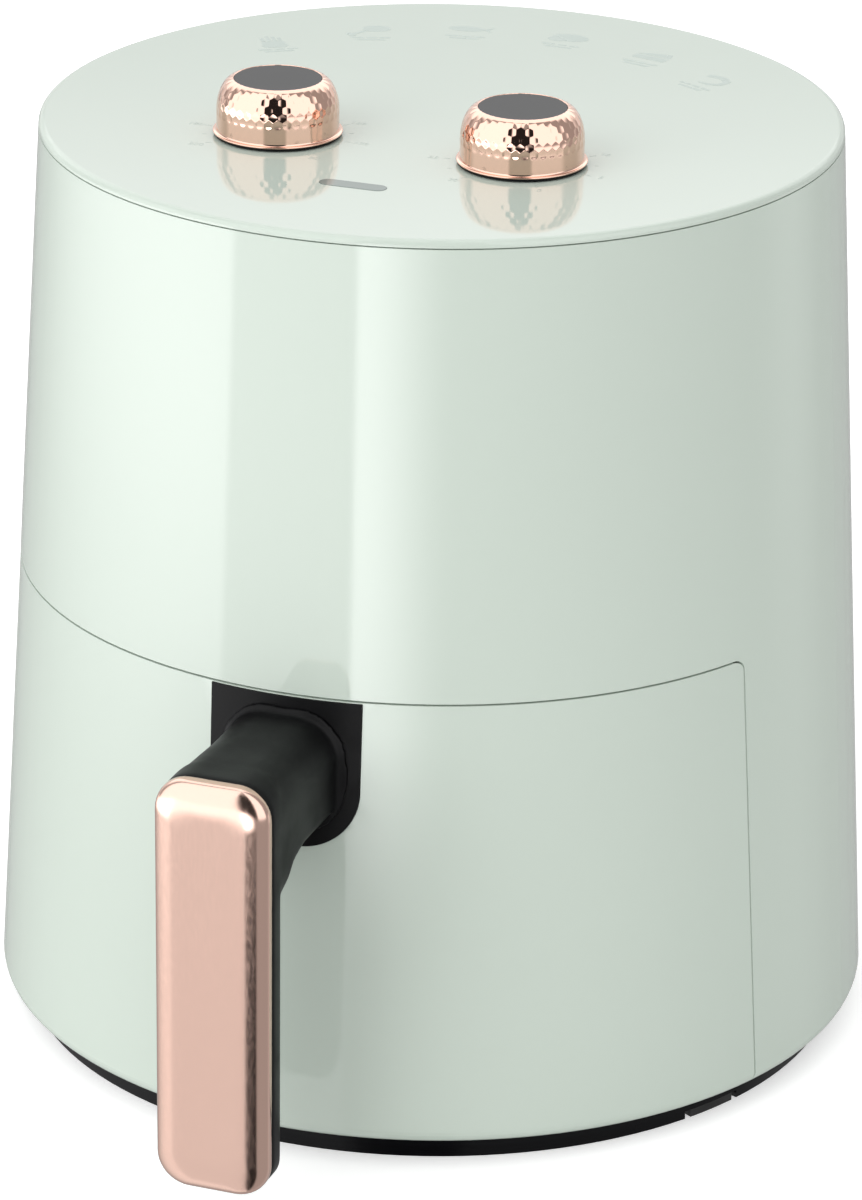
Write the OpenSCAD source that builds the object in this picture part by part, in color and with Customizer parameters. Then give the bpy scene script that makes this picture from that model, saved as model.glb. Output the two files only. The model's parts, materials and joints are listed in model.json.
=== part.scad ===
// Air fryer with a round tapered body, a pull-out drawer and two hammered knobs.
// +Z is up, the drawer opens towards -Y, and the origin is on the body's axis at the floor.
// Azimuths are degrees from the front, growing towards +X.

/* [Body] */
// Height of the body without its knobs
body_h = 284; // [281:0.5:288]
// Radius that the body's taper reaches at the floor
body_r_floor = 136.2; // [135.6:0.1:137.2]
// Radius of the body at its top edge
body_r_top = 120.5; // [120.2:0.1:121.4]
// Wall thickness of the outer plastic parts
wall = 2.5; // [2.1:0.1:2.6]
// Seam between the outer plastic parts
seam = 0.6; // [0.4:0.1:0.8]

/* [Drawer] */
// Height of the drawer's top edge
drawer_z = 145.9; // [145:0.1:146.4]
// Distance from the body's axis plane to the drawer's side edges
drawer_edge = 54.8; // [54.6:0.1:56]
// Radius of the pan's rim
pan_r = 104; // [102:0.5:104]
// Thickness of the pan's sheet metal
pan_t = 1; // [0.8:0.1:1.2]
// Height of the crisper plate above the floor
crisper_z = 28; // [26:0.5:29]

/* [Handle] */
// Width of the grip
grip_w = 34.8; // [30:0.2:36]
// Distance from the body's axis to the front of the grip
grip_front = 188; // [186:0.5:190]
// Lowest point of the grip
grip_z0 = 12.5; // [11:0.5:16]
// Highest point of the grip
grip_z1 = 141; // [140.5:0.5:142]
// Width of the neck
neck_w = 34.6; // [32:0.2:36]
// Depth of the front cap of the grip
trim_d = 6.5; // [5.5:0.1:7]

/* [Controls] */
// Distance of each knob from the middle plane
knob_x = 38.2; // [37.5:0.1:39]
// Distance of the knobs in front of the body's axis
knob_y = 37; // [36.2:0.1:37]
// Radius of the knob's hammered shell over its flange
knob_r = 18.2; // [17.5:0.1:18.6]
// Height of the knob over the top
knob_h = 17.2; // [16.8:0.1:18]
// Length of the indicator window
window_l = 20.5; // [18:0.5:24]
// Width of the indicator window
window_w = 5.5; // [5:0.1:6]

/* [Hidden] */
$fn = 96;

// Colours
mint = "#cfe0d3";
rose_gold = "#d9a695";
black_plastic = "#26282a";
gloss_black = "#15171a";
rubber_black = "#202020";
steel = "#b9bcc0";
galvanised = "#8f9498";
coated = "#2f3133";
ceramic = "#e8e2d4";
copper = "#b5652f";
window_grey = "#8d9c95";
circuit_green = "#2f6b45";

// Clearances
fit = 0.05;             // radial play of a pin or screw in its hole
gap = 0.4;              // gap between a moving piece and a fixed one
thin = 0.4;             // thickness of a slice that a hull spans

// Outer shell
shell_z = 8;            // lower edge of the shell
edge_r = 4;             // round of the lower edge
lip_w = 6;              // lip turned in under the shell
lip_h = 3;
cover_z = 281.8 - 284 + body_h;     // underside of the top cover's edge
cover_round = 2;        // round of the cover's top edge
corner_r = 4;           // round of the drawer's top corners
grille_z = 200;         // middle of the rear grille
grille_w = 84;
grille_h = 56;
grille_r = 8;
gland_z = 22;           // height of the cord gland
gland_bore = 3.6;
gland_w = 18;           // width of the gland's block, and of the shell's slot for it

// Base
base_r = 127.3;         // outside of the black skirt
base_top = 7.4;         // top of the base's floor
base_floor = 2.4;       // thickness of the base's floor
base_flange_r = 130.5;
rib_r = 121.3;          // outside of the inner rib that the base stands on
foot_azimuths = [-118, -62, 62, 118];
foot_half = 3.9;        // half angle of a foot
foot_notch = 1;         // angle of the notch on each side of a foot
foot_h = 2.5;
base_screw_r = 114;
base_screw_azimuths = [-150, -118, -86, 86, 118, 150];

// Cavity
liner_r = 107;          // inside of the cavity
liner_t = 1;
liner_top = 205;
frame_y = 53.6;         // front face of the black frame around the opening
frame_t = 2.4;
lintel_z = 147;
rail_x = 55;            // guide rails under the pan
rail_w = 8;
rail_l = 160;
rail_top = 12.3;

// Hot air side
guard_z = 165;
guard_t = 1.5;
coil_z = 179;
coil_tube = 3.3;
coil_outer = 84;
coil_inner = 62;
coil_gap = 12;          // half of the angle left open between the coil's ends
coil_elbow = 8;
riser_top = 216;
reflector_z = 203;
deck_z = 207;
deck_t = 2;
deck_r = 118;
post_r = 112.5;         // circle of the cover's screw posts
post_azimuths = [45, 135, 225, 315];

// Fan and motor
shaft_r = 4;
fan_z = 186;            // lowest point of the hot air fan
fan_h = 14;
fan_r = 50;
cool_z = 213;           // lowest point of the cooling fan
cool_h = 11;
cool_r = 44;
duct_r = 48;
bracket_z = 229;
core_z = 233;           // lowest point of the motor's laminations
core_h = 18;
core_w = 48;
core_front = 20;
core_back = 48;
core_bore = 14.2;
leg_y = 33;             // front of the leg that carries the coil
motor_cap_z = 256;
motor_screw_x = 20;
motor_screw_y = 15;

// Wires
wire_azimuth = -154;    // where the supply wires pass the deck
switch_wire_azimuth = 106;
terminal_azimuth = -166;
bulb_azimuth = 35;      // turn of the thermostat's bulb from -X
bulb_z = 192;

// Controls
plate_z = 278.4 - 284 + body_h;     // underside of the plate that carries the controls
control_z = 246 - 284 + body_h;     // lowest point of the timer and thermostat
timer_r = 20;
spindle_r = 3;          // shafts of the timer and the thermostat
knob_foot = 0.7;        // black foot under the hammered shell
knob_flange = 1.1;      // how far the shell's flange stands out, and its thickness
knob_flange_t = 0.5;
knob_side = 6.5;        // height of the shell's straight side
knob_inset = 0.1;       // how far the black cap lies below the knob's rim
knob_cap_r = 13;
window_y = 75;

// Drawer
panel_r = 105.5;        // inside of the drawer's inner panel
panel_t = 2;
panel_z = 11.2;
pan_screw_azimuths = [-18, -8, 8, 18];
pan_screw_z = 127;
pan_z = 12.6;
pan_top = 140;
pan_wall_r = 100;       // outside of the pan's wall under its rim
pan_floor_r = 96;
pan_round = 8;
switch_pin_x = 111.6;
switch_pin_z = 124;
plate_r = 93.5;         // outside of the crisper plate
plate_t = 1.2;
plate_rim = 7;
crisper_foot_r = 80;    // circle of the silicone feet
escutcheon_w = 46.6;
escutcheon_z = 100;
escutcheon_r = 18;
escutcheon_out = 0.5;   // how far the escutcheon stands out of the drawer
neck_top = 140.8;
neck_bottom = 113;
neck_fillet = 16;
neck_round = 13;
grip_corner = 10;
grip_back_r = 6;        // round corners of the grip's back
grip_back = 170.5;      // back of the grip
handle_screw_z = [118, 133];
peg_z = [35, 78, 121];  // pegs of the trim

// Body radius at a height
function body_r(z) = body_r_floor - (body_r_floor - body_r_top) * z / body_h;

// Points of an arc about a centre
function arc(cx, cy, r, a0, a1, n = 6) =
    [for (i = [0:n]) [cx + r * cos(a0 + (a1 - a0) * i / n), cy + r * sin(a0 + (a1 - a0) * i / n)]];

// ---------- shapes that repeat ----------

// Places its children at azimuths on a circle
module around(azimuths, r, z = 0) {
    for (a = azimuths)
        rotate([0, 0, a]) translate([0, -r, z]) children();
}

// Extrudes an outline drawn as [x, height] from one distance in front of the axis to another
module front_extrude(f0, f1) {
    translate([0, -f0, 0]) rotate([90, 0, 0]) linear_extrude(f1 - f0) children();
}

// Extrudes an outline drawn as [distance in front of the axis, height] across the middle plane
module side_extrude(w) {
    rotate([90, 0, -90]) linear_extrude(w, center = true) children();
}

// Rectangle with round corners, centred
module round_rect(w, h, r) {
    square([w, h - 2 * r], center = true);
    square([w - 2 * r, h], center = true);
    for (x = [-1, 1], y = [-1, 1])
        translate([x * (w / 2 - r), y * (h / 2 - r)]) circle(r);
}

// Tube, standing on z = 0
module tube(r_out, r_in, h) {
    difference() {
        cylinder(r = r_out, h = h);
        translate([0, 0, -1]) cylinder(r = r_in, h = h + 2);
    }
}

// Solid cone of the body, inset from its outer face
module body_cone(z0, z1, inset = 0) {
    translate([0, 0, z0])
        cylinder(r1 = body_r(z0) - inset, r2 = body_r(z1) - inset, h = z1 - z0);
}

// Part of the body's wall between two insets
module body_skin(z0, z1, inset_out, inset_in) {
    difference() {
        body_cone(z0, z1, inset_out);
        body_cone(z0 - 1, z1 + 1, inset_in);
    }
}

// Half section of the outer wall, with its round lower edge and the lip under it
module wall_section(top) {
    lip_r = body_r(shell_z) - lip_w;
    inner_z = shell_z + lip_h;
    round_z = shell_z + edge_r;
    polygon(concat(
        [[lip_r, shell_z]],
        arc(body_r(round_z) - edge_r, round_z, edge_r, -90, 0),
        [[body_r(top), top], [body_r(top) - wall, top],
         [body_r(inner_z) - wall, inner_z], [lip_r, inner_z]]
    ));
}

// Space in front of an edge and below a height, with one round corner
module drawer_space(edge, top, r) {
    side_extrude(320) {
        translate([edge, -1]) square([100, top + 1 - r]);
        translate([edge + r, top - r - 1]) square([100 - r, r + 1]);
        translate([edge + r, top - r]) circle(r);
    }
}

// Pan-head screw pointing up, with its head below z = 0 and a cross recess
module screw(r, l, head_r, head_h) {
    difference() {
        union() {
            cylinder(r = r, h = l);
            translate([0, 0, -head_h]) cylinder(r = head_r, h = head_h);
        }
        for (a = [0, 90])
            rotate([0, 0, a]) translate([0, 0, -head_h]) cube([head_r * 1.2, 0.8, 1.4], center = true);
    }
}

// Unit vector along a vector
function unit(v) = v / norm(v);

// Direction of a path at its point i
function heading(points, i) =
    i == 0 ? unit(points[1] - points[0]) :
    i == len(points) - 1 ? unit(points[i] - points[i - 1]) :
    unit(unit(points[i] - points[i - 1]) + unit(points[i + 1] - points[i]));

// Wire swept along a path; no stretch of the path may run along the vector side
module wire(points, r, side = [0.3, 1, 0]) {
    sides = 8;
    last = len(points) - 1;
    rings = [for (i = [0:last])
        let (t = heading(points, i), u = unit(cross(side, t)), v = cross(t, u))
        for (k = [0:sides - 1])
            points[i] + r * (cos(k * 360 / sides) * u + sin(k * 360 / sides) * v)];
    walls = [for (i = [0:last - 1], k = [0:sides - 1])
        let (n = (k + 1) % sides, a = i * sides, b = a + sides)
        each [[a + k, b + k, b + n], [a + k, b + n, a + n]]];
    ends = [[for (k = [0:sides - 1]) k], [for (k = [sides - 1:-1:0]) last * sides + k]];
    polyhedron(rings, concat(walls, ends), convexity = 4);
}

// Both knob positions, as [x, y]
timer_at = [knob_x, -knob_y];
thermostat_at = [-knob_x, -knob_y];

// ---------- base ----------

module base_section() {
    // floor with its flange, the visible skirt, and the inner rib that the base stands on
    translate([0, base_top - base_floor]) square([base_flange_r, base_floor]);
    translate([base_r - 2.3, 0]) square([2.3, base_top - 0.1]);
    translate([rib_r - 2, 0]) square([2, base_top - 0.1]);
}

module foot_sector(half, r0, r1, h) {
    rotate([0, 0, -90 - half]) rotate_extrude(angle = 2 * half)
        translate([r0, 0]) square([r1 - r0, h]);
}

module base_plate() {
    color(gloss_black) difference() {
        union() {
            rotate_extrude() base_section();
            // wall that locates the shell, behind the drawer
            intersection() {
                translate([0, 0, base_top - 1]) tube(129.2, 127, 6);
                translate([-150, 1 - frame_y + frame_t, 0]) cube([300, 250, 60]);
            }
        }
        translate([-gland_w / 2 - 0.5, 100, base_top]) cube([gland_w + 1, 60, 60]);
        for (a = foot_azimuths)
            rotate([0, 0, a]) translate([0, 0, -1])
                foot_sector(foot_half + foot_notch, rib_r + 0.2, base_r + 2, foot_h + 1);
        around(foot_azimuths, 123.2, 0)
            cylinder(r = 1.6 + fit, h = base_top + 1);
        around(base_screw_azimuths, base_screw_r, 0)
            cylinder(r = 1.7, h = base_top + 1);
        // air inlet slots
        for (a = [0:15:345])
            rotate([0, 0, a]) translate([20, -1.5, -1]) cube([24, 3, base_top + 2]);
    }
}

module rubber_feet() {
    color(rubber_black) for (a = foot_azimuths) {
        rotate([0, 0, a]) foot_sector(foot_half, rib_r + 0.3, base_r, foot_h);
        around([a], 123.2, foot_h - 0.1) cylinder(r = 1.6, h = base_top - foot_h - 0.2);
    }
}

module base_screws() {
    color(steel) around(base_screw_azimuths, base_screw_r, base_top - base_floor)
        screw(1.65, 12, 3, 2);
}

// ---------- outer shell and cover ----------

module outer_shell() {
    color(mint) difference() {
        rotate_extrude() wall_section(cover_z - gap);
        drawer_space(drawer_edge - seam, drawer_z + seam, corner_r);
        translate([0, 0, grille_z]) rotate([-90, 0, 0]) linear_extrude(160)
            round_rect(grille_w, grille_h, grille_r);
        // slot for the cord gland
        translate([-gland_w / 2 - fit, 100, 0])
            cube([gland_w + 2 * fit, 60, gland_z + gland_w / 2 + fit]);
    }
}

module cover_section() {
    edge = body_r(cover_z);
    polygon(concat(
        [[0, cover_z], [edge, cover_z]],
        arc(body_r(body_h - cover_round) - cover_round, body_h - cover_round, cover_round, 0, 90),
        [[0, body_h]]
    ));
    // skirt that locates the shell
    translate([edge - wall - 2.4, cover_z - 10]) square([2, 10.1]);
}

module top_cover() {
    color(mint) difference() {
        union() {
            rotate_extrude() cover_section();
            // posts for the cover screws
            around(post_azimuths, post_r, deck_z + deck_t)
                cylinder(r = 3.8, h = cover_z - deck_z - deck_t + 0.1);
            // posts for the control frame
            for (x = [-1, 1], y = [-62, -12])
                translate([x * 60, y, plate_z + 1.6])
                    cylinder(r = 3, h = cover_z - plate_z - 1.5);
        }
        around(post_azimuths, post_r, deck_z) cylinder(r = 1.65 + fit, h = 16);
        for (x = [-1, 1], y = [-62, -12])
            translate([x * 60, y, plate_z]) cylinder(r = 1.2 + fit, h = 4.4);
        for (p = [timer_at, thermostat_at])
            translate([p[0], p[1], cover_z - 1]) cylinder(r = 5, h = 10);
        translate([0, -window_y, cover_z - 1]) linear_extrude(10)
            round_rect(window_l + 0.1, window_w + 0.1, window_w / 2);
    }
}

module cover_screws() {
    color(steel) around(post_azimuths, post_r, deck_z) screw(1.65, 16, 2.8, 2);
}

module rear_grille() {
    color(black_plastic) difference() {
        intersection() {
            body_skin(grille_z - 40, grille_z + 40, 0, wall);
            translate([0, 0, grille_z]) rotate([-90, 0, 0]) linear_extrude(160)
                round_rect(grille_w - 0.3, grille_h - 0.3, grille_r);
        }
        for (x = [-1, 1], z = [-21:6:21])
            translate([x * 19, 0, grille_z + z]) rotate([-90, 0, 0]) linear_extrude(160)
                round_rect(33, 3, 1.45);
    }
}

module cord_gland() {
    back = body_r(gland_z);
    high = gland_z + gland_w / 2;
    color(black_plastic) difference() {
        union() {
            // block in the shell's slot
            intersection() {
                rotate_extrude() polygon(concat(
                    [[0, shell_z]],
                    arc(body_r(shell_z + edge_r) - edge_r, shell_z + edge_r, edge_r, -90, 0),
                    [[body_r(high), high], [0, high]]
                ));
                translate([-gland_w / 2, back - 9, 0]) cube([gland_w, 20, 60]);
            }
            // plate over the slot, joined to the block
            intersection() {
                body_skin(shell_z + edge_r, high + 3, -1.6, -fit);
                translate([0, 100, gland_z + 1]) rotate([-90, 0, 0]) linear_extrude(60)
                    round_rect(gland_w + 6, gland_w + 4, 4);
            }
            intersection() {
                body_skin(shell_z + edge_r + 1, high - 0.5, -1, 2);
                translate([-gland_w / 2 + 0.5, 100, 0]) cube([gland_w - 1, 60, 60]);
            }
            translate([0, back - 2, gland_z]) rotate([-90, 0, 0]) cylinder(r = 6, h = 5.2);
        }
        translate([0, back - 20, gland_z]) rotate([-90, 0, 0]) cylinder(r = gland_bore, h = 40);
    }
}

// ---------- cavity ----------

module front_frame() {
    half = liner_r + liner_t + 0.3;
    color(black_plastic) difference() {
        union() {
            // uprights
            intersection() {
                body_cone(panel_z, lintel_z + 2, wall + 0.3);
                translate([-150, -frame_y, 0]) cube([300, frame_t, 200]);
            }
            // ledge over the drawer
            intersection() {
                body_cone(lintel_z, lintel_z + 2, wall + 0.3);
                translate([-150, -150, 0]) cube([300, 150 - frame_y + frame_t, 200]);
            }
        }
        cylinder(r = half, h = 200);
        translate([-half, -60, -1]) cube([2 * half, 60, lintel_z + 1]);
        // hole for the drawer's switch pin
        translate([switch_pin_x, 0, switch_pin_z]) rotate([90, 0, 0]) cylinder(r = 2.2, h = 100);
    }
}

module guide_rails() {
    color(galvanised) for (x = [-1, 1])
        translate([x * rail_x - rail_w / 2, -rail_l / 2, base_top]) difference() {
            cube([rail_w, rail_l, rail_top - base_top]);
            translate([1.2, -1, -1]) cube([rail_w - 2.4, rail_l + 2, rail_top - base_top - 0.2]);
        }
}

module cavity_liner() {
    outer = liner_r + liner_t;
    duct_w = 66;
    color(galvanised) difference() {
        union() {
            difference() {
                translate([0, 0, base_top]) tube(outer, liner_r, liner_top - base_top);
                translate([-150, -150, -1]) cube([300, 150, lintel_z + 1]);
            }
            // straight sides up to the frame
            for (x = [-outer, liner_r])
                translate([x, -frame_y + frame_t + 0.1, base_top])
                    cube([liner_t, frame_y - frame_t, lintel_z - base_top]);
            // foot flange and screw bosses behind the drawer
            intersection() {
                translate([0, 0, base_top]) tube(base_screw_r + 5, liner_r, 1.5);
                translate([-150, -40, 0]) cube([300, 250, 60]);
            }
            around(base_screw_azimuths, base_screw_r, base_top) cylinder(r = 4, h = 10);
        }
        around(base_screw_azimuths, base_screw_r, base_top - 1) cylinder(r = 1.65 + fit, h = 20);
        // outlet to the exhaust duct
        translate([-duct_w / 2, 50, 175]) cube([duct_w, 100, 25]);
        // hole for the thermostat's bulb
        translate([0, 0, bulb_z]) rotate([0, -90, bulb_azimuth]) cylinder(r = 2.2, h = 150);
    }
}

module exhaust_duct() {
    color(galvanised) difference() {
        intersection() {
            body_skin(150, 220, wall + 0.3, 60);
            translate([-36, 0, 173]) cube([72, 160, 29.5]);
        }
        cylinder(r = liner_r + liner_t + 0.2, h = 300);
        translate([-35, 0, 174]) cube([70, 160, 27.5]);
    }
}

// ---------- heater ----------

module fan_guard() {
    rings = [18, 32, 46, 60, 74, 88];
    color(steel) translate([0, 0, guard_z]) linear_extrude(guard_t) {
        difference() {
            circle(liner_r - 0.2);
            circle(liner_r - 5);
        }
        for (r = rings)
            difference() {
                circle(r + 1);
                circle(r - 1);
            }
        for (a = [0:30:150])
            rotate(a) square([2 * liner_r - 4, 2], center = true);
    }
}

module coil_end(r) {
    rotate([0, 0, 90 + coil_gap]) translate([r, 0, 0]) {
        translate([0, 0, coil_elbow]) rotate([0, 90, 180])
            rotate_extrude(angle = 90) translate([coil_elbow, 0]) circle(coil_tube, $fn = 48);
        translate([0, -coil_elbow, coil_elbow])
            cylinder(r = coil_tube, h = riser_top - coil_z - coil_elbow);
    }
}

module heating_element() {
    color(steel) translate([0, 0, coil_z]) {
        for (r = [coil_outer, coil_inner]) {
            rotate([0, 0, 90 + coil_gap]) rotate_extrude(angle = 360 - 2 * coil_gap)
                translate([r, 0]) circle(coil_tube, $fn = 48);
            coil_end(r);
        }
        // bend that joins the two turns
        rotate([0, 0, 90 - coil_gap]) translate([(coil_outer + coil_inner) / 2, 0, 0])
            rotate_extrude(angle = 180) translate([(coil_outer - coil_inner) / 2, 0])
                circle(coil_tube, $fn = 48);
    }
}

// Places its children where the coil's ends go up
module at_risers() {
    for (r = [coil_outer, coil_inner])
        rotate([0, 0, 90 + coil_gap]) translate([r, -coil_elbow, 0]) children();
}

module heater_clips() {
    span = coil_outer - coil_inner + 14;
    mid = (coil_outer + coil_inner) / 2;
    color(galvanised) around([0, 120, 240], mid) {
        translate([-4, -span / 2, coil_z - coil_tube - 1.4]) cube([8, span, 1.2]);
        translate([-4, -0.6, coil_z - coil_tube - 0.3])
            cube([8, 1.2, reflector_z - coil_z + coil_tube + 0.3]);
        for (y = [-span / 2, span / 2 - 1.2])
            translate([-4, y, coil_z - coil_tube - 0.3]) cube([8, 1.2, 5]);
    }
}

module heater_bushes() {
    color(ceramic) at_risers() translate([0, 0, reflector_z - 2])
        tube(6, coil_tube + fit, deck_z + deck_t + 4 - reflector_z + 2);
}

module reflector() {
    color(steel) difference() {
        rotate_extrude() polygon([
            [6, reflector_z + 2], [56, reflector_z + 2], [62, reflector_z],
            [liner_r - 0.2, reflector_z], [liner_r - 0.2, reflector_z + 1],
            [62.4, reflector_z + 1], [56.4, reflector_z + 3], [6, reflector_z + 3]
        ]);
        at_risers() translate([0, 0, 190]) cylinder(r = 6 + fit, h = 30);
    }
}

module upper_deck() {
    color(black_plastic) difference() {
        translate([0, 0, deck_z]) cylinder(r = deck_r, h = deck_t);
        translate([0, 0, deck_z - 1]) cylinder(r = 7, h = 10);
        at_risers() translate([0, 0, 190]) cylinder(r = 6 + fit, h = 30);
        around(post_azimuths, post_r, deck_z - 1) cylinder(r = 1.8, h = 10);
        // notches for the supply wires, the switch's wire and the capillary
        around([wire_azimuth, switch_wire_azimuth, -90 + bulb_azimuth], deck_r - 3, deck_z - 1)
            cylinder(r = 3.5, h = 10);
    }
}

module thermal_fuse() {
    // fuse in its clamp, on the deck beside the heater's ends
    color(ceramic) translate([-62, 44, deck_z + deck_t + 4]) rotate([90, 0, 60])
        cylinder(r = 2.2, h = 16, center = true);
    color(galvanised) translate([-62, 44, deck_z + deck_t]) rotate([0, 0, 60]) difference() {
        translate([-4, -4, 0]) cube([8, 8, 8]);
        translate([0, 0, 4]) rotate([90, 0, 0]) cylinder(r = 2.2, h = 20, center = true);
    }
}

// ---------- fans and motor ----------

module cooling_duct() {
    low = deck_z + deck_t;
    color(black_plastic) difference() {
        union() {
            translate([0, 0, low]) tube(duct_r + 1.6, duct_r, 17);
            // channel to the rear grille
            for (x = [-1, 1])
                translate([x * 30 - 0.8, 36, low]) cube([1.6, 76, 17]);
        }
        translate([-29.2, 20, low - 1]) cube([58.4, 60, 20]);
    }
}

module motor_bracket() {
    color(galvanised) difference() {
        union() {
            translate([-56, -24, bracket_z]) cube([112, 48, 2]);
            for (x = [-1, 1], y = [-1, 1])
                translate([x * 52, y * 18, deck_z + deck_t])
                    cylinder(r = 3, h = bracket_z - deck_z - deck_t + 0.1);
            for (x = [-1, 1], y = [-1, 1])
                translate([x * motor_screw_x, y * motor_screw_y, bracket_z + 1]) cylinder(r = 3, h = 3);
            translate([0, 0, bracket_z - 3]) cylinder(r = 7, h = 6);
        }
        cylinder(r = shaft_r + fit, h = 300);
        for (x = [-1, 1], y = [-1, 1])
            translate([x * motor_screw_x, y * motor_screw_y, bracket_z - 1])
                cylinder(r = 1.6 + fit, h = 9);
        for (x = [-1, 1])
            translate([x * 36, 0, bracket_z - 1]) linear_extrude(4) round_rect(18, 34, 4);
    }
}

module motor_core() {
    color(galvanised) translate([0, 0, core_z]) linear_extrude(core_h) difference() {
        translate([-core_w / 2, -core_front]) square([core_w, core_front + core_back]);
        circle(core_bore);
        translate([-12.8, 19]) square([25.6, leg_y - 19]);
        for (x = [-1, 1], y = [-1, 1])
            translate([x * motor_screw_x, y * motor_screw_y]) circle(1.6 + fit);
    }
}

module motor_coil() {
    color(copper) translate([0, 0, core_z]) difference() {
        translate([-12.3, leg_y - 6, -6]) cube([24.6, core_back - leg_y + 12, core_h + 12]);
        translate([-20, leg_y - 0.2, -0.2]) cube([40, core_back - leg_y + 0.4, core_h + 0.4]);
    }
}

module motor_cap() {
    color(galvanised) difference() {
        union() {
            translate([-24, -19, motor_cap_z]) cube([48, 38, 2]);
            for (x = [-1, 1], y = [-1, 1])
                translate([x * motor_screw_x, y * motor_screw_y, core_z + core_h])
                    cylinder(r = 3, h = motor_cap_z - core_z - core_h + 0.1);
            translate([0, 0, motor_cap_z - 3]) cylinder(r = 7, h = 9);
        }
        cylinder(r = shaft_r + fit, h = 300);
        for (x = [-1, 1], y = [-1, 1])
            translate([x * motor_screw_x, y * motor_screw_y, core_z]) cylinder(r = 1.6 + fit, h = 40);
    }
}

module motor_screws() {
    color(steel) for (x = [-1, 1], y = [-1, 1])
        translate([x * motor_screw_x, y * motor_screw_y, motor_cap_z + 2]) rotate([180, 0, 0])
            screw(1.6, motor_cap_z + 2 - bracket_z - 1, 2.8, 2);
}

module motor_shaft() {
    color(steel) translate([0, 0, fan_z - 6]) cylinder(r = shaft_r, h = motor_cap_z + 4 - fan_z + 6);
}

module motor_rotor() {
    color(galvanised) translate([0, 0, core_z]) tube(core_bore - 0.35, shaft_r + 0.02, core_h);
}

module hot_air_fan() {
    blades = 12;
    color(steel) translate([0, 0, fan_z]) {
        tube(9, shaft_r + 0.02, fan_h);
        translate([0, 0, fan_h - 1.2]) tube(fan_r, 8.5, 1.2);
        for (i = [0:blades - 1])
            rotate([0, 0, i * 360 / blades]) translate([fan_r - 38, 4, 0.5]) rotate([0, 0, -12])
                cube([37, 1, fan_h - 1]);
    }
}

module cooling_fan() {
    blades = 9;
    color(black_plastic) translate([0, 0, cool_z]) {
        tube(9, shaft_r + 0.02, cool_h);
        for (i = [0:blades - 1])
            rotate([0, 0, i * 360 / blades]) translate([8, 0, cool_h / 2]) rotate([40, 0, 0])
                translate([0, -7, -0.6]) cube([cool_r - 10, 14, 1.2]);
    }
}

module fan_nut() {
    color(steel) translate([0, 0, fan_z - 5]) difference() {
        cylinder(r = 7.5, h = 5, $fn = 6);
        translate([0, 0, -1]) cylinder(r = shaft_r + 0.02, h = 7);
    }
}

// ---------- controls ----------

module control_frame() {
    color(galvanised) difference() {
        translate([-66, -68, plate_z]) cube([132, 62, 1.6]);
        for (p = [timer_at, thermostat_at])
            translate([p[0], p[1], plate_z - 1]) cylinder(r = 7.6, h = 4);
        for (x = [-1, 1], y = [-62, -12])
            translate([x * 60, y, plate_z - 1]) cylinder(r = 1.2 + fit, h = 4);
        // opening for the motor's shaft end and for the lamps
        translate([-14, -84, plate_z - 1]) cube([28, 24, 4]);
        translate([-16, -26, plate_z - 1]) cube([32, 30, 4]);
    }
}

module control_screws() {
    color(steel) for (x = [-1, 1], y = [-62, -12])
        translate([x * 60, y, plate_z]) screw(1.2, 4, 2.4, 1.6);
}

module timer_body() {
    color(galvanised) translate([timer_at[0], timer_at[1], 0]) difference() {
        union() {
            translate([0, 0, control_z]) cylinder(r = timer_r, h = plate_z - control_z);
            translate([0, 0, plate_z - 0.1]) cylinder(r = 7.4, h = 2.4);
        }
        translate([0, 0, control_z + 14]) cylinder(r = spindle_r + fit, h = 60);
        // ring between the two halves of the case
        translate([0, 0, control_z + 12]) difference() {
            cylinder(r = timer_r + 1, h = 1);
            translate([0, 0, -1]) cylinder(r = timer_r - 0.8, h = 3);
        }
    }
}

module timer_bell() {
    // striking bell beside the timer
    outside = concat([[0, 0], [14, 0]], arc(8, 0, 6, 0, 90), [[0, 6]]);
    inside = concat([[0, -2], [13, -2]], arc(8, -1, 5, 0, 90), [[0, 4]]);
    color(steel) translate([timer_at[0] + 42, timer_at[1] + 6, plate_z]) rotate([180, 0, 0])
        difference() {
            rotate_extrude() polygon(outside);
            translate([0, 0, 1]) rotate_extrude() polygon(inside);
        }
}

module thermostat_body() {
    color(ceramic) translate([thermostat_at[0], thermostat_at[1], 0]) difference() {
        union() {
            translate([-13, -15, control_z + 4]) cube([26, 30, plate_z - control_z - 4]);
            translate([0, 0, plate_z - 0.1]) cylinder(r = 7.4, h = 2.4);
        }
        translate([0, 0, control_z + 14]) cylinder(r = spindle_r + fit, h = 60);
    }
}

module thermostat_bulb() {
    // sensing bulb in the hot air, and its capillary up to the thermostat
    out = [-cos(bulb_azimuth), -sin(bulb_azimuth), 0];
    low = [0, 0, bulb_z];
    color(copper) {
        wire([out * 102 + low, out * 112 + low, out * 114.5 + [0, 0, bulb_z + 4],
              out * 114.5 + [0, 0, 216], out * 110 + [0, 0, 222], out * 80 + [0, 0, 240],
              [-60, -37, 254], [-51.1, -37, 254]],
             1.1, [0, 1, 0.1]);
        translate(out * 68 + low) rotate([0, -90, bulb_azimuth]) cylinder(r = 3, h = 34.5);
    }
}

module knob_shaft(at) {
    color(steel) translate([at[0], at[1], control_z + 15]) difference() {
        cylinder(r = spindle_r, h = body_h + knob_h - 5 - control_z - 15);
        translate([1.9, -5, 26]) cube([5, 10, 40]);
    }
}

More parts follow.
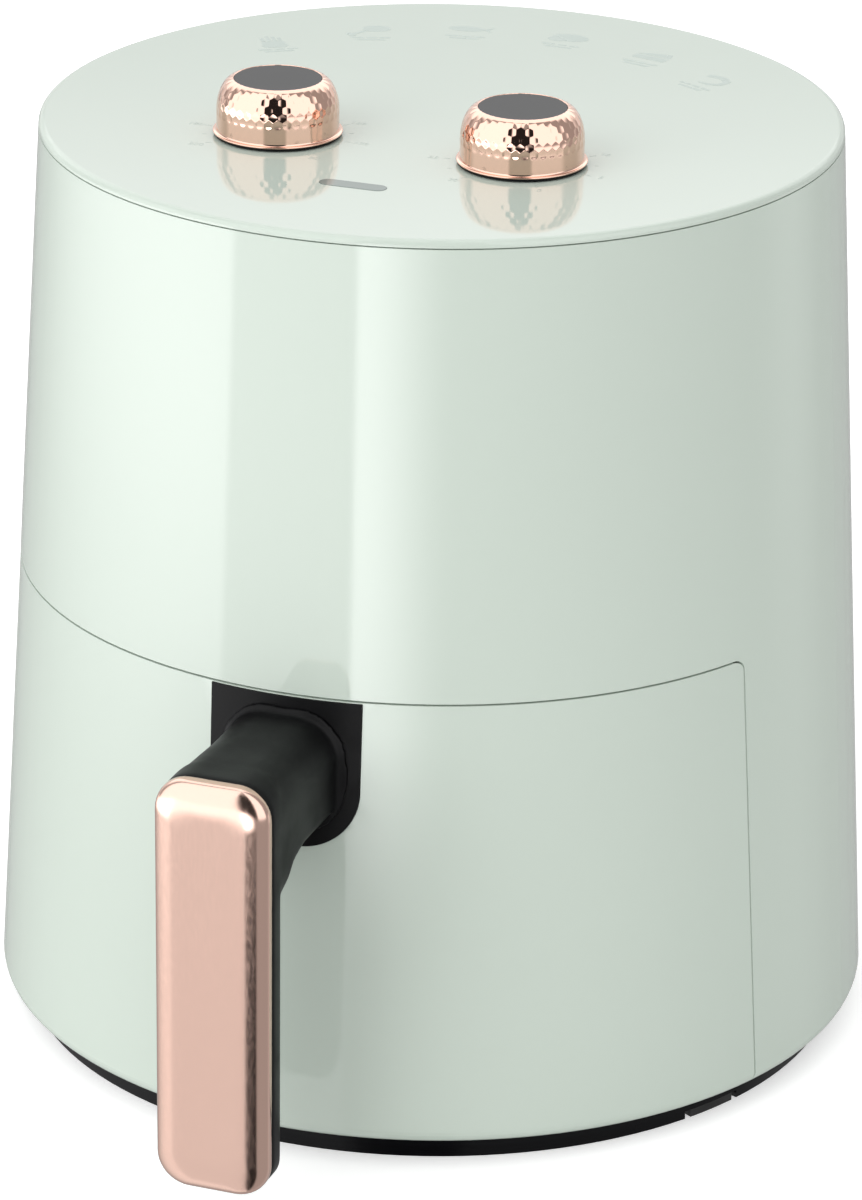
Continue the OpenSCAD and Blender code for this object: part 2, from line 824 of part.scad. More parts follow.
module knob_core(at) {
    low = body_h + gap;
    high = body_h + knob_h - knob_inset - 1.6;
    color(black_plastic) translate([at[0], at[1], 0]) difference() {
        union() {
            translate([0, 0, low]) cylinder(r = knob_r + 0.7, h = knob_foot);
            translate([0, 0, low]) cylinder(r = 6, h = high - low);
            for (a = [0:60:300])
                rotate([0, 0, a]) translate([0, -0.6, low]) cube([knob_cap_r - 1, 1.2, high - low]);
        }
        translate([0, 0, low - 1]) cylinder(r = spindle_r + 0.03, h = body_h + knob_h - 5 - low + 1.1);
    }
}

// Half section of the hammered shell: a flange, a straight side and a shoulder that is a quarter
// of an ellipse and ends at the cap
module knob_section(t) {
    low = body_h + gap + knob_foot;
    side = low + knob_side;
    rise = body_h + knob_h - side;
    flange = [knob_r + knob_flange, low];
    outer = [for (a = [0:10:90])
        [knob_cap_r + (knob_r - knob_cap_r) * cos(a), side + rise * sin(a)]];
    inner = [for (a = [90:-10:0])
        [knob_cap_r + (knob_r - t - knob_cap_r) * cos(a), side + (rise - t) * sin(a)]];
    polygon(concat(
        [flange, flange + [0, knob_flange_t], [knob_r, low + knob_flange_t]],
        outer, inner, [[knob_r - t, low]]
    ));
}

module knob_shell(at) {
    color(rose_gold) translate([at[0], at[1], 0]) rotate_extrude() knob_section(1);
}

module knob_cap(at) {
    color(gloss_black) translate([at[0], at[1], body_h + knob_h - knob_inset - 1.5])
        cylinder(r = knob_cap_r - fit, h = 1.5);
}

module indicator_window() {
    color(window_grey) translate([0, -window_y, 0]) {
        translate([0, 0, cover_z - 0.1]) linear_extrude(body_h - cover_z + 0.2)
            round_rect(window_l, window_w, window_w / 2 - 0.02);
        translate([0, 0, cover_z - 1.3]) linear_extrude(1.2) round_rect(window_l + 5, window_w + 5, 3);
    }
}

module indicator_board() {
    color(circuit_green) translate([0, -window_y, 0]) {
        translate([-13, -8, 270]) cube([26, 16, 1.6]);
        for (x = [-1, 1])
            translate([x * 10.5, 6, 271.5]) cylinder(r = 1.5, h = cover_z - 1.3 - 271.5);
    }
}

module indicator_lamps() {
    color(ceramic) for (x = [-1, 1])
        translate([x * 5, -window_y, 271.6]) {
            cylinder(r = 2.5, h = 4);
            translate([0, 0, 4]) sphere(2.5);
        }
}

// ---------- wiring ----------

module microswitch() {
    color(gloss_black) translate([109, -frame_y + frame_t + 0.8, switch_pin_z - 6]) {
        cube([6, 20, 12]);
        for (z = [2, 9])
            translate([2.5, 19.9, z]) cube([1, 5, 1]);
    }
}

module terminal_block() {
    w = 24;
    color(ceramic) rotate([0, 0, terminal_azimuth]) translate([-w / 2, -126, base_top + 1.6])
        difference() {
            cube([w, 12, 14]);
            for (x = [4.5, 12, 19.5])
                translate([x, 6, 6]) cylinder(r = 2.4, h = 10);
        }
}

module wiring() {
    r = 1.2;
    color(rose_gold) {
        // supply from the terminal block up behind the cavity to the timer
        wire([[-29, 117, 17], [-29, 117, 26], [-44, 107.5, 36], [-50, 103, 60], [-50, 103, 214],
              [-44, 84, 240], [-30, 60, 263], [30, 22, 268], [46, -10, 268], [46, -16.6, 264]],
             r, [1, 0, 0]);
        // motor coil to the timer, and motor coil to the lamps
        wire([[8, 52, 258.4], [14, 48, 264], [24, 34, 270], [35, 4, 272], [35, -15, 270]],
             r, [1, 0, 0]);
        wire([[-8, 52, 258.4], [-20, 48, 266], [-22, -10, 274], [-11, -64, 273]], r, [1, 0, 0.3]);
        // drawer switch up to the timer
        wire([[112, -24, 127.5], [112, -21, 134], [111, 30, 190], [111, 31.8, 214], [86, 10, 246],
              [60, -24, 262]], r, [1, 0.2, 0]);
    }
}

// ---------- drawer ----------

module escutcheon_outline(grow = 0) {
    half = escutcheon_w / 2 + grow;
    low = escutcheon_z - grow;
    r = escutcheon_r + grow;
    translate([-half, low + r]) square([2 * half, drawer_z - gap + grow - low - r]);
    translate([-half + r, low]) square([2 * (half - r), r + 1]);
    for (x = [-1, 1])
        translate([x * (half - r), low + r]) circle(r);
}

module drawer_front() {
    color(mint) difference() {
        intersection() {
            rotate_extrude() wall_section(drawer_z);
            drawer_space(drawer_edge, drawer_z, corner_r - seam);
        }
        // pocket for the escutcheon
        difference() {
            front_extrude(100, 150) escutcheon_outline(0.1);
            body_cone(50, 160, 1.5);
        }
        for (z = handle_screw_z)
            translate([0, 0, z]) rotate([90, 0, 0]) cylinder(r = 2.2, h = 160);
    }
}

module drawer_inner_panel() {
    top = drawer_z - 1;
    color(black_plastic) difference() {
        union() {
            intersection() {
                body_cone(panel_z, top, wall + 0.1);
                drawer_space(drawer_edge + 0.3, top, corner_r);
            }
            // pin that works the drawer switch
            translate([switch_pin_x, -drawer_edge - 1, switch_pin_z]) rotate([-90, 0, 0])
                cylinder(r = 1.6, h = 4);
        }
        cylinder(r = panel_r, h = 200);
        // hollow behind the front, under the top ledge and between the end walls
        difference() {
            intersection() {
                body_cone(panel_z - 1, top - 4, wall + 1.6);
                translate([-150, -150, 0]) cube([300, 150 - drawer_edge - 2.3, 200]);
            }
            cylinder(r = panel_r + panel_t, h = 200);
        }
        for (z = handle_screw_z)
            translate([0, 0, z]) rotate([90, 0, 0]) cylinder(r = 2.2, h = 160);
        around(pan_screw_azimuths, 0, pan_screw_z) rotate([90, 0, 0]) cylinder(r = 1.8, h = 109);
    }
}

module escutcheon() {
    color(black_plastic) difference() {
        intersection() {
            body_skin(50, 160, -escutcheon_out, 1.45);
            front_extrude(100, 150) escutcheon_outline();
        }
        for (z = handle_screw_z)
            translate([0, 0, z]) rotate([90, 0, 0]) cylinder(r = 2.2, h = 160);
    }
}

// Black core of the grip: its outline from the front, cut by a prism with round back corners
module grip() {
    front = grip_front - trim_d - 0.1;
    intersection() {
        front_extrude(150, front) translate([0, (grip_z0 + grip_z1) / 2])
            round_rect(grip_w, grip_z1 - grip_z0, grip_corner);
        translate([0, -grip_back - 15, 0])
            linear_extrude(200) round_rect(grip_w + 0.2, 30, grip_back_r);
    }
}

// Neck from the drawer to the grip, square at the drawer and filleted into the grip's back
module neck() {
    back = grip_back + 5;
    intersection() {
        front_extrude(110, back) translate([0, (neck_top + neck_bottom - neck_fillet) / 2])
            round_rect(neck_w, neck_top - neck_bottom + neck_fillet, neck_round);
        side_extrude(neck_w + 2) polygon(concat(
            [[110, neck_bottom]],
            arc(back - 4 - neck_fillet, neck_bottom - neck_fillet, neck_fillet, 90, 0, 3),
            [[back, neck_bottom - neck_fillet], [back, neck_top], [110, neck_top]]
        ));
    }
}

// Lip around the neck's foot, lying on the escutcheon
module neck_lip() {
    low = 104;
    high = neck_top + 2.2;
    intersection() {
        body_cone(90, 160, -escutcheon_out - 1.4);
        front_extrude(100, 150) translate([0, (low + high) / 2]) round_rect(40, high - low, 16);
    }
}

module handle_body() {
    peg_depth = 7;
    color(black_plastic) difference() {
        union() {
            grip();
            neck();
            neck_lip();
        }
        body_cone(50, 200, -escutcheon_out);
        for (z = handle_screw_z)
            translate([0, -100, z]) rotate([90, 0, 0]) cylinder(r = 1.8 + fit, h = 55);
        for (z = peg_z)
            translate([0, -grip_front + trim_d + peg_depth, z]) rotate([90, 0, 0])
                cylinder(r = 2 + fit, h = peg_depth + 5);
    }
}

// Slice of the trim, lying across the grip's front
module trim_slice(f, inset) {
    r = grip_corner - inset;
    half = grip_w / 2 - inset;
    for (x = [-1, 1], z = [grip_z0 + inset + r, grip_z1 - inset - r])
        translate([x * (half - r), -f, z]) rotate([90, 0, 0]) cylinder(r = r, h = thin, $fn = 32);
}

module handle_trim() {
    edge = 4.5;
    steps = 4;
    foot = grip_front - trim_d;
    color(rose_gold) {
        hull() {
            trim_slice(foot, 0);
            for (i = [0:steps]) {
                a = 90 * i / steps;
                trim_slice(grip_front - edge * (1 - sin(a)) - thin, edge * (1 - cos(a)));
            }
        }
        for (z = peg_z)
            translate([0, -foot + 6, z]) rotate([90, 0, 0]) cylinder(r = 2, h = 8);
    }
}

module handle_screws() {
    color(steel) for (z = handle_screw_z)
        translate([0, wall + 1.9 - body_r(z), z]) rotate([90, 0, 0]) screw(1.8, 24, 3.4, 2.2);
}

// ---------- pan ----------

// Half section of the pan, inset by its sheet for the inside
module pan_section() {
    t = pan_t;
    floor_in = pan_floor_r - pan_round;
    outer = concat([[0, pan_z]], arc(floor_in, pan_z + pan_round, pan_round, -90, 0),
        [[pan_wall_r, pan_top - t], [pan_r, pan_top - t], [pan_r, pan_top], [pan_wall_r - t, pan_top]]);
    inner = concat(arc(floor_in, pan_z + pan_round, pan_round - t, 0, -90), [[0, pan_z + t]]);
    polygon(concat(outer, inner));
}

module pan() {
    color(coated) rotate_extrude() pan_section();
}

module pan_fixings() {
    // saddle between the pan and the inner panel, with its screws
    color(steel) difference() {
        rotate([0, 0, -112]) rotate_extrude(angle = 44)
            translate([pan_wall_r + 0.1, 118]) square([panel_r - pan_wall_r - 0.2, 18]);
        around(pan_screw_azimuths, 0, pan_screw_z) rotate([90, 0, 0]) cylinder(r = 1.8, h = 130);
    }
    color(steel) around(pan_screw_azimuths, panel_r + panel_t + 0.1, pan_screw_z) rotate([-90, 0, 0])
        screw(1.5, panel_r + panel_t - pan_wall_r - 0.5, 2.8, 2);
}

// ---------- crisper ----------

module crisper_holes() {
    for (ring = [1:6]) {
        r = 12 + ring * 12;
        n = 6 * ring + 4;
        for (i = [0:n - 1])
            rotate(i * 360 / n + ring * 7) translate([r, 0]) circle(2);
    }
    circle(12);
}

module crisper_plate() {
    color(coated) translate([0, 0, crisper_z]) {
        linear_extrude(plate_t) difference() {
            circle(plate_r);
            crisper_holes();
        }
        tube(plate_r, plate_r - plate_t, plate_rim);
    }
}

module crisper_feet() {
    low = pan_z + pan_t + 0.3;
    color(rubber_black) around([45, 135, 225, 315], crisper_foot_r, low)
        cylinder(r = 4, h = crisper_z - low);
}

base_plate();
rubber_feet();
base_screws();
outer_shell();
top_cover();
cover_screws();
rear_grille();
cord_gland();
front_frame();
guide_rails();
cavity_liner();
exhaust_duct();
fan_guard();
heating_element();
heater_clips();
heater_bushes();
reflector();
upper_deck();
thermal_fuse();
cooling_duct();
motor_bracket();
motor_core();
motor_coil();
motor_cap();
motor_screws();
control_frame();
control_screws();
timer_body();
timer_bell();
thermostat_body();
thermostat_bulb();
indicator_window();
indicator_board();
indicator_lamps();
microswitch();
terminal_block();
wiring();
motor_shaft();
motor_rotor();
hot_air_fan();
cooling_fan();
fan_nut();
knob_shaft(timer_at);  // timer_shaft
knob_core(timer_at);  // timer_knob_core
knob_shell(timer_at);  // timer_knob_shell
knob_cap(timer_at);  // timer_knob_cap
knob_shaft(thermostat_at);  // thermostat_shaft
knob_core(thermostat_at);  // thermostat_knob_core
knob_shell(thermostat_at);  // thermostat_knob_shell
knob_cap(thermostat_at);  // thermostat_knob_cap
drawer_front();
drawer_inner_panel();
escutcheon();
handle_body();
handle_trim();
handle_screws();
pan();
pan_fixings();
crisper_plate();
crisper_feet();
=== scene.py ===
import json
import math

import bmesh
import bpy
from mathutils import Matrix, Vector


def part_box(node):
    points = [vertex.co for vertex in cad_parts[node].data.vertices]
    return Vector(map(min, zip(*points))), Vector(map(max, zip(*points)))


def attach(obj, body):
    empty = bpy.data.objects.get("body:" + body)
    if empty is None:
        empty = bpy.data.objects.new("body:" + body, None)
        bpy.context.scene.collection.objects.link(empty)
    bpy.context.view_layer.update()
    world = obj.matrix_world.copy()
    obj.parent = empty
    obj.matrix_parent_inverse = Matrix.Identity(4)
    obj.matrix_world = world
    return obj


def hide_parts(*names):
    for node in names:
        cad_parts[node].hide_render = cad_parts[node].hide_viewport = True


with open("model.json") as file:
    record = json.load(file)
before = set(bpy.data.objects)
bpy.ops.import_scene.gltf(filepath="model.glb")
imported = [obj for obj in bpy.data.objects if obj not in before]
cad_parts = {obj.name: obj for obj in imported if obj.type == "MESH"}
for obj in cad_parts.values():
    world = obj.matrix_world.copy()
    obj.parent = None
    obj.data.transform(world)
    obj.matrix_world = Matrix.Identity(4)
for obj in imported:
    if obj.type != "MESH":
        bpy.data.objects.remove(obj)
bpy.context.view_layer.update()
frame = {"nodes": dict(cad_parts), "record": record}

MM = 0.001
NODES = frame["nodes"]
SCENE = bpy.context.scene


# ---------- camera ----------

CAMERA_AZIMUTH = math.radians(19.8)     # from the front towards +X
CAMERA_ELEVATION = math.radians(22.15)
CAMERA_DISTANCE = 1.7057
CAMERA_ROLL = math.radians(0.72)
LOOK_AT_HEIGHT = 0.1268
LOOK_AT_RIGHT = -0.00147
CAMERA_LENS = 165                       # mm, on a sensor 36 mm wide

# Horizontal directions seen from the camera: towards it, and to its right
TOWARDS = Vector((math.sin(CAMERA_AZIMUTH), -math.cos(CAMERA_AZIMUTH), 0))
RIGHT = Vector((math.cos(CAMERA_AZIMUTH), math.sin(CAMERA_AZIMUTH), 0))


def make_camera():
    data = bpy.data.cameras.new("camera")
    data.lens = CAMERA_LENS
    data.sensor_width = 36
    data.clip_start = 0.05
    data.clip_end = 50
    camera = bpy.data.objects.new("camera", data)
    SCENE.collection.objects.link(camera)
    back = TOWARDS * math.cos(CAMERA_ELEVATION)
    back.z = math.sin(CAMERA_ELEVATION)
    target = RIGHT * LOOK_AT_RIGHT + Vector((0, 0, LOOK_AT_HEIGHT))
    turn = (-back).to_track_quat("-Z", "Y").to_matrix() @ Matrix.Rotation(CAMERA_ROLL, 3, "Z")
    camera.matrix_world = Matrix.Translation(target + back * CAMERA_DISTANCE) @ turn.to_4x4()
    SCENE.camera = camera


# ---------- node trees ----------


class Tree:
    """Short calls for making a node tree."""

    def __init__(self, owner):
        owner.use_nodes = True
        self.tree = owner.node_tree
        self.nodes = self.tree.nodes

    def add(self, kind, **values):
        node = self.nodes.new("ShaderNode" + kind)
        for name, value in values.items():
            setattr(node, name, value)
        return node

    def link(self, source, target):
        self.tree.links.new(source, target)

    def math(self, operation, a, b=0.0):
        node = self.add("Math", operation=operation)
        for socket, value in zip(node.inputs, (a, b)):
            if isinstance(value, (int, float)):
                socket.default_value = value
            else:
                self.link(value, socket)
        return node.outputs[0]

    def ramp(self, value, low, high, out_low=0.0, out_high=1.0):
        node = self.add("MapRange", interpolation_type="SMOOTHSTEP")
        self.link(value, node.inputs["Value"])
        node.inputs["From Min"].default_value = low
        node.inputs["From Max"].default_value = high
        node.inputs["To Min"].default_value = out_low
        node.inputs["To Max"].default_value = out_high
        return node.outputs[0]

    def noise(self, vector, scale, detail=3.0, stretch=None):
        if stretch:
            mapping = self.add("Mapping")
            mapping.inputs["Scale"].default_value = stretch
            self.link(vector, mapping.inputs["Vector"])
            vector = mapping.outputs[0]
        node = self.add("TexNoise")
        node.inputs["Scale"].default_value = scale
        node.inputs["Detail"].default_value = detail
        self.link(vector, node.inputs["Vector"])
        return node.outputs[0]

    def mix(self, factor, a, b):
        node = self.add("Mix", data_type="RGBA")
        self.link(factor, node.inputs[0])
        for socket, value in zip((node.inputs[6], node.inputs[7]), (a, b)):
            if isinstance(value, (tuple, list)):
                socket.default_value = (*value, 1)
            else:
                self.link(value, socket)
        return node.outputs[2]

    def bump(self, height, distance):
        node = self.add("Bump")
        node.inputs["Strength"].default_value = 1
        node.inputs["Distance"].default_value = distance
        self.link(height, node.inputs["Height"])
        return node.outputs[0]


# ---------- light ----------

# Angles are in degrees right of the camera. Heights are the sine of the elevation above the horizon.
# A band is (from, to, softness at each end) in degrees, with its strength last where it has one.

FLOOR_SIZE = 12.0
FLOOR_TONE = 0.86
FLOOR_GLOW = (0.05, 0.5)            # what it adds to the light, and what the picture shows of it

SKY = (0.60, 0.98)                  # soft light from below the horizon and from overhead
SKY_HEIGHTS = (-0.3, 0.9)
KEY = (-72, -27, 12, 10, 2.2)       # large soft key light on the left
KEY_RISE = (0.0, 0.15)
KEY_FALL = (0.6, 0.8)
RIGHT_SHADE = 0.18                  # how much less light comes from the right
SHADE_ANGLES = (40, 80)

# What glossy surfaces mirror below the horizon
LOW_LIGHT = 0.45
LOW_BANDS = ((-108, -59, 42, 1.5, 4.2), (-59, -22.5, 1.5, 1.5, 1.5), (104, 124, 10, 10, 0.5))
LOW_FADES = (0.16, 0.3, 0.3)        # what is left of each band well under the horizon
LOW_FADE_HEIGHTS = (-0.38, -0.24)
FRONT_BAND = (-22.5, -8, 1.5, 13, 5.2)
FRONT_FADE_HEIGHTS = (-0.335, -0.3)
LOW_CARD = (-21, 9, 3, 3)           # dark card deep below the horizon
LOW_CARD_HEIGHTS = (-0.4, -0.37)

# What they mirror above it
HORIZON = (-0.12, 0.0)
HIGH_LIGHT = 0.42
HIGH_BANDS = ((-106, -24, 8, 4, 1.3), (16, 81, 4, 8, 1.2))
HIGH_CARD = (-24, 16, 4, 4)         # dark card between the two panels
HIGH_CARD_HEIGHTS = (0.8, 0.92)
CARD_DARKNESS = 0.95
BACK_LIGHT = (0.5, 1.25)            # what the top plate mirrors at its far side and at its near side
BACK_ANGLES = (115, 140)
BACK_HEIGHTS = (0.275, 0.325)


def band(t, angle, low, high, soft_low, soft_high, strength=1.0):
    rise = t.ramp(angle, low - soft_low, low + soft_low, 0, strength)
    fall = t.ramp(angle, high - soft_high, high + soft_high, 1, 0)
    return t.math("MULTIPLY", rise, fall)


def soft_light(t, angle, up):
    """Light all round, with a key light on the left and less light on the right."""
    sky = t.ramp(up, *SKY_HEIGHTS, *SKY)
    key_height = t.math("MULTIPLY", t.ramp(up, *KEY_RISE), t.ramp(up, *KEY_FALL, 1, 0))
    key = t.math("MULTIPLY", band(t, angle, *KEY), key_height)
    shade = t.ramp(angle, *SHADE_ANGLES, 1, 1 - RIGHT_SHADE)
    return t.math("MULTIPLY", t.math("ADD", sky, key), shade)


def darken(t, light, card):
    return t.math("MULTIPLY", light, t.math("SUBTRACT", 1.0, card))


def mirrored_below(t, angle, up):
    light = LOW_LIGHT
    for values, left in zip(LOW_BANDS, LOW_FADES):
        fade = t.ramp(up, *LOW_FADE_HEIGHTS, left, 1)
        light = t.math("ADD", light, t.math("MULTIPLY", band(t, angle, *values), fade))
    front = t.math("MULTIPLY", band(t, angle, *FRONT_BAND), t.ramp(up, *FRONT_FADE_HEIGHTS))
    light = t.math("ADD", light, front)
    card_height = t.ramp(up, *LOW_CARD_HEIGHTS, CARD_DARKNESS, 0)
    return darken(t, light, t.math("MULTIPLY", band(t, angle, *LOW_CARD), card_height))


def mirrored_above(t, angle, up):
    light = HIGH_LIGHT
    for values in HIGH_BANDS:
        light = t.math("ADD", light, band(t, angle, *values))
    behind = t.ramp(t.math("ABSOLUTE", angle), *BACK_ANGLES)
    back = t.math("MULTIPLY", behind, t.ramp(up, *BACK_HEIGHTS, *BACK_LIGHT))
    light = t.math("ADD", light, back)
    card_height = t.ramp(up, *HIGH_CARD_HEIGHTS, CARD_DARKNESS, 0)
    return darken(t, light, t.math("MULTIPLY", band(t, angle, *HIGH_CARD), card_height))


def choose(t, factor, a, b):
    node = t.add("Mix")
    for socket, value in zip((node.inputs[0], node.inputs[2], node.inputs[3]), (factor, a, b)):
        t.link(value, socket)
    return node.outputs[0]


def make_light():
    """Soft light for the surfaces' own colour, and soft panels and dark cards for what they mirror."""
    world = bpy.data.worlds.new("studio")
    SCENE.world = world
    t = Tree(world)
    direction = t.add("TexCoord").outputs["Generated"]
    parts = []
    for axis in (RIGHT, TOWARDS, Vector((0, 0, 1))):
        dot = t.add("VectorMath", operation="DOT_PRODUCT")
        t.link(direction, dot.inputs[0])
        dot.inputs[1].default_value = axis
        parts.append(dot.outputs["Value"])
    side, towards, up = parts
    angle = t.math("MULTIPLY", t.math("ARCTAN2", side, towards), math.degrees(1))
    mirrored = choose(t, t.ramp(up, *HORIZON), mirrored_below(t, angle, up), mirrored_above(t, angle, up))
    glossy = t.add("LightPath").outputs["Is Glossy Ray"]
    background = t.nodes["Background"]
    background.inputs["Color"].default_value = (1, 1, 1, 1)
    t.link(choose(t, glossy, soft_light(t, angle, up), mirrored), background.inputs["Strength"])


def make_floor():
    """Pale floor. The picture shows it brighter than the light it gives, so that it comes out near white."""
    mesh = bpy.data.meshes.new("floor")
    half = FLOOR_SIZE / 2
    corners = [(-half, -half, 0), (half, -half, 0), (half, half, 0), (-half, half, 0)]
    mesh.from_pydata(corners, [], [(0, 1, 2, 3)])
    floor = bpy.data.objects.new("floor", mesh)
    SCENE.collection.objects.link(floor)
    floor.visible_glossy = False
    material = bpy.data.materials.new("floor")
    t = Tree(material)
    shader = t.nodes["Principled BSDF"]
    shader.inputs["Base Color"].default_value = (FLOOR_TONE, FLOOR_TONE, FLOOR_TONE, 1)
    shader.inputs["Roughness"].default_value = 0.9
    shader.inputs["Emission Color"].default_value = (1, 1, 1, 1)
    seen = t.add("LightPath").outputs["Is Camera Ray"]
    t.link(t.ramp(seen, 0, 1, *FLOOR_GLOW), shader.inputs["Emission Strength"])
    mesh.materials.append(material)


# ---------- materials ----------


def plastic(name, colour, roughness, tone=0.02, grain=900, depth=0.004, ior=1.5):
    """Moulded plastic: slow drift of the colour, uneven gloss, and the mould's texture, depth in mm."""
    material = bpy.data.materials.new(name)
    t = Tree(material)
    shader = t.nodes["Principled BSDF"]
    where = t.add("TexCoord").outputs["Object"]
    drift = t.noise(where, 9, 2)
    darker = tuple(c * (1 - tone) for c in colour)
    t.link(t.mix(drift, darker, colour), shader.inputs["Base Color"])
    fine = t.noise(where, grain, 2)
    uneven = t.noise(where, 60, 4)
    t.link(t.ramp(uneven, 0.3, 0.7, roughness * 0.85, roughness * 1.15), shader.inputs["Roughness"])
    t.link(t.bump(fine, depth * MM), shader.inputs["Normal"])
    shader.inputs["IOR"].default_value = ior
    return material


def metal(name, colour, roughness, stretch=(1, 1, 1), grain=700, depth=0.006, tone=0.06):
    """Metal with a drift of tone, brush or rolling marks, depth in mm, and uneven gloss."""
    material = bpy.data.materials.new(name)
    t = Tree(material)
    shader = t.nodes["Principled BSDF"]
    where = t.add("TexCoord").outputs["Object"]
    marks = t.noise(where, grain, 3, stretch)
    drift = t.noise(where, 22, 4)
    darker = tuple(c * (1 - tone) for c in colour)
    t.link(t.mix(drift, darker, colour), shader.inputs["Base Color"])
    t.link(t.ramp(marks, 0.25, 0.75, roughness * 0.8, roughness * 1.2), shader.inputs["Roughness"])
    t.link(t.bump(marks, depth * MM), shader.inputs["Normal"])
    shader.inputs["Metallic"].default_value = 1
    return material


def spangled(name):
    """Galvanised sheet: metal whose colour is a crystal pattern."""
    material = metal(name, (0.42, 0.44, 0.46), 0.42, (1, 1, 0.2), 260, 0.01, 0.1)
    t = Tree(material)
    shader = t.nodes["Principled BSDF"]
    plain_colour = shader.inputs["Base Color"].links[0].from_node
    where = t.add("TexCoord").outputs["Object"]
    crystals = t.add("TexVoronoi")
    crystals.inputs["Scale"].default_value = 130
    t.link(where, crystals.inputs["Vector"])
    grey = t.add("SeparateColor")
    t.link(crystals.outputs["Color"], grey.inputs[0])
    tone = t.mix(grey.outputs[0], (0.34, 0.36, 0.38), (0.5, 0.52, 0.54))
    t.link(tone, shader.inputs["Base Color"])
    t.nodes.remove(plain_colour)
    return material


def coated(name):
    """Non-stick coating: near black, speckled, softly shiny."""
    material = bpy.data.materials.new(name)
    t = Tree(material)
    shader = t.nodes["Principled BSDF"]
    where = t.add("TexCoord").outputs["Object"]
    specks = t.ramp(t.noise(where, 1500, 1), 0.66, 0.72)
    t.link(t.mix(specks, (0.022, 0.022, 0.024), (0.13, 0.13, 0.135)), shader.inputs["Base Color"])
    uneven = t.noise(where, 90, 4)
    t.link(t.ramp(uneven, 0.3, 0.7, 0.28, 0.4), shader.inputs["Roughness"])
    t.link(t.bump(t.noise(where, 900, 3), 0.02 * MM), shader.inputs["Normal"])
    return material


def glassy(name, colour, roughness):
    """Clear tinted plastic of the lamps."""
    material = bpy.data.materials.new(name)
    t = Tree(material)
    shader = t.nodes["Principled BSDF"]
    where = t.add("TexCoord").outputs["Object"]
    darker = tuple(c * 0.8 for c in colour)
    t.link(t.mix(t.noise(where, 300, 3), colour, darker), shader.inputs["Base Color"])
    t.link(t.ramp(t.noise(where, 200, 2), 0.3, 0.7, roughness, roughness * 1.6), shader.inputs["Roughness"])
    shader.inputs["Transmission Weight"].default_value = 0.5
    shader.inputs["IOR"].default_value = 1.5
    return material


# Colour, roughness, tone drift, grain scale, grain depth in mm, and IOR where it isn't 1.5
PLASTICS = {
    "mint_gloss": ((0.62, 0.70, 0.627), 0.055, 0.012, 700, 0.0012),
    "black_gloss": ((0.005, 0.005, 0.006), 0.16, 0.1, 500, 0.004, 1.24),
    "black_matte": ((0.005, 0.005, 0.0055), 0.42, 0.15, 1600, 0.02, 1.25),
    "rubber_black": ((0.025, 0.025, 0.025), 0.75, 0.2, 1200, 0.05),
    "ceramic_white": ((0.70, 0.66, 0.58), 0.35, 0.08, 600, 0.02),
    "wire_jacket": ((0.50, 0.24, 0.18), 0.4, 0.1, 900, 0.01),
    "window_grey": ((0.235, 0.285, 0.265), 0.12, 0.06, 500, 0.003),
    "board_green": ((0.03, 0.13, 0.06), 0.35, 0.15, 400, 0.01),
    "print_grey": ((0.50, 0.585, 0.535), 0.3, 0.05, 900, 0.002),
}

# Colour, roughness, stretch of the marks, their scale and depth in mm, and tone drift where it isn't 0.06
METALS = {
    "rose_gold_satin": ((0.80, 0.545, 0.455), 0.17, (1, 1, 0.3), 1400, 0.0008, 0.012),
    "rose_gold_hammered": ((0.86, 0.57, 0.46), 0.05, (1, 1, 1), 500, 0.001, 0.04),
    "bright_steel": ((0.62, 0.62, 0.61), 0.22, (1, 1, 0.15), 500, 0.006),
    "copper_red": ((0.72, 0.30, 0.14), 0.25, (1, 1, 0.05), 900, 0.02),
}


def make_materials():
    """All the materials, by the name of their slot."""
    made = {name: plastic(name, *values) for name, values in PLASTICS.items()}
    made.update((name, metal(name, *values)) for name, values in METALS.items())
    made["galvanised_steel"] = spangled("galvanised_steel")
    made["coated_steel"] = coated("coated_steel")
    made["lamp_clear"] = glassy("lamp_clear", (0.85, 0.55, 0.40), 0.08)
    return made


def paint_nodes(materials):
    """Gives every CAD node the material of its slot."""
    for part in frame["record"]["subparts"]:
        node = NODES[part["node"]]
        node.data.materials.clear()
        node.data.materials.append(materials[part["material_slot"]])


# ---------- meshes ----------


def piece(name, bm, material, body, smooth=True):
    """Turns a bmesh into a piece that rides on a body."""
    if smooth:
        bmesh.ops.recalc_face_normals(bm, faces=bm.faces)
    mesh = bpy.data.meshes.new(name)
    bm.to_mesh(mesh)
    bm.free()
    mesh.polygons.foreach_set("use_smooth", [smooth] * len(mesh.polygons))
    mesh.materials.append(material)
    made = bpy.data.objects.new(name, mesh)
    SCENE.collection.objects.link(made)
    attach(made, body)
    return made


def add_rings(bm, rings, close_rings=True, cap=False):
    """Joins rings of points, each a list of the same length, into a skin."""
    verts = [[bm.verts.new(p) for p in ring] for ring in rings]
    count = len(rings[0])
    pairs = list(zip(verts, verts[1:] + verts[:1])) if close_rings else list(zip(verts, verts[1:]))
    for low, high in pairs:
        for i in range(count):
            j = (i + 1) % count
            bm.faces.new((low[i], low[j], high[j], high[i]))
    if cap:
        bm.faces.new(list(reversed(verts[0])))
        bm.faces.new(verts[-1])


def arc_points(centre, radius, start, end, steps):
    """Points round a centre, from one angle to another in degrees."""
    points = []
    for i in range(steps + 1):
        a = math.radians(start + (end - start) * i / steps)
        points.append((centre[0] + radius * math.cos(a), centre[1] + radius * math.sin(a)))
    return points


# ---------- knobs ----------

